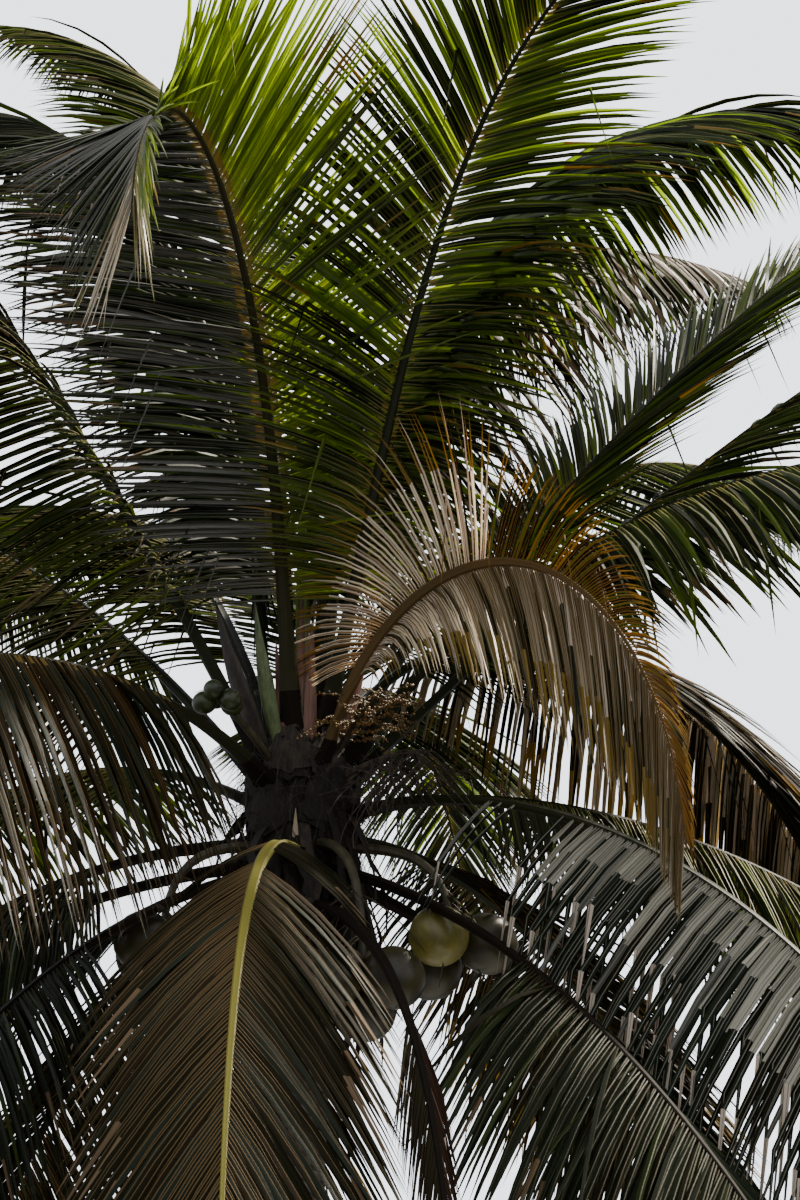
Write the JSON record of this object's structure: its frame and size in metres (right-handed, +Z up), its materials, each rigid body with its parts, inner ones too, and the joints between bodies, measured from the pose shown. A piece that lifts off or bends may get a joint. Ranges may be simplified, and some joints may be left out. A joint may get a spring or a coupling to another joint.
{
  "type": "coconut palm tree",
  "caption": "Rooted coconut palm with a leaning stem, flared foot and full crown of arching feather fronds, with nut bunches, flower sprays and spathes at its heart.",
  "frame": {"origin": "middle of the flat cut under the stem, at ground level", "axes": "+Z up along the height of the palm, -Y towards the side that the picture shows"},
  "size_m": [7.4341, 6.9538, 10.1366],
  "materials": {
    "stem_bark": "rough ringed grey-brown bark",
    "leaf_young": "glossy yellow-green leaf",
    "leaf_mature": "satin dark green leaf",
    "leaf_old": "satin olive-brown leaf",
    "leaf_dead": "dry brown leaf",
    "nut_skin": "waxy green to olive husk",
    "flower_twig": "matt orange-brown flower twigs",
    "dry_twig": "dry brown twigs",
    "spathe_green": "satin grey-green sheath",
    "spathe_brown": "woody red-brown sheath"
  },
  "bodies": {
    "root": {"bunch_back": "nut_skin", "bunch_back_right": "nut_skin", "bunch_front": "nut_skin", "bunch_left": "nut_skin", "bunch_right": "nut_skin", "flowers_back": "flower_twig", "flowers_front": "flower_twig", "frond_arch_back_right": "leaf_mature", "frond_arch_front_end": "leaf_mature", "frond_arch_front_foot": "leaf_mature", "frond_back_end": "leaf_mature", "frond_back_foot": "leaf_mature", "frond_back_left_end": "leaf_mature", "frond_back_left_foot": "leaf_mature", "frond_back_right_end": "leaf_mature", "frond_back_right_foot": "leaf_mature", "frond_dead": "leaf_dead", "frond_hang_back_right": "leaf_old", "frond_hang_front": "leaf_old", "frond_hang_left": "leaf_old", "frond_hang_right_front": "leaf_old", "frond_high_back_right_end": "leaf_young", "frond_high_back_right_foot": "leaf_young", "frond_high_front_end": "leaf_young", "frond_high_front_foot": "leaf_young", "frond_high_left_back_end": "leaf_young", "frond_high_left_back_foot": "leaf_young", "frond_high_right_end": "leaf_young", "frond_high_right_foot": "leaf_young", "frond_left": "leaf_mature", "frond_left_back": "leaf_mature", "frond_left_front_end": "leaf_mature", "frond_left_front_foot": "leaf_mature", "frond_low_back_end": "leaf_old", "frond_low_back_foot": "leaf_old", "frond_low_back_left": "leaf_old", "frond_low_back_right_end": "leaf_mature", "frond_low_back_right_foot": "leaf_mature", "frond_low_left": "leaf_old", "frond_low_left_back_end": "leaf_old", "frond_low_left_back_foot": "leaf_old", "frond_low_right_end": "leaf_mature", "frond_low_right_foot": "leaf_mature", "frond_low_right_front_end": "leaf_mature", "frond_low_right_front_foot": "leaf_mature", "frond_right": "leaf_mature", "frond_right_back": "leaf_mature", "frond_right_fall_end": "leaf_mature", "frond_right_fall_foot": "leaf_mature", "frond_right_front_end": "leaf_mature", "frond_right_front_foot": "leaf_mature", "frond_top_back": "leaf_young", "frond_top_right_end": "leaf_young", "frond_top_right_foot": "leaf_young", "spathe_brown": "spathe_brown", "spathe_green": "spathe_green", "spathe_red": "spathe_brown", "spear_leaf": "leaf_young", "spent_flowers": "dry_twig", "stem": "stem_bark"}
  },
  "joints": []
}
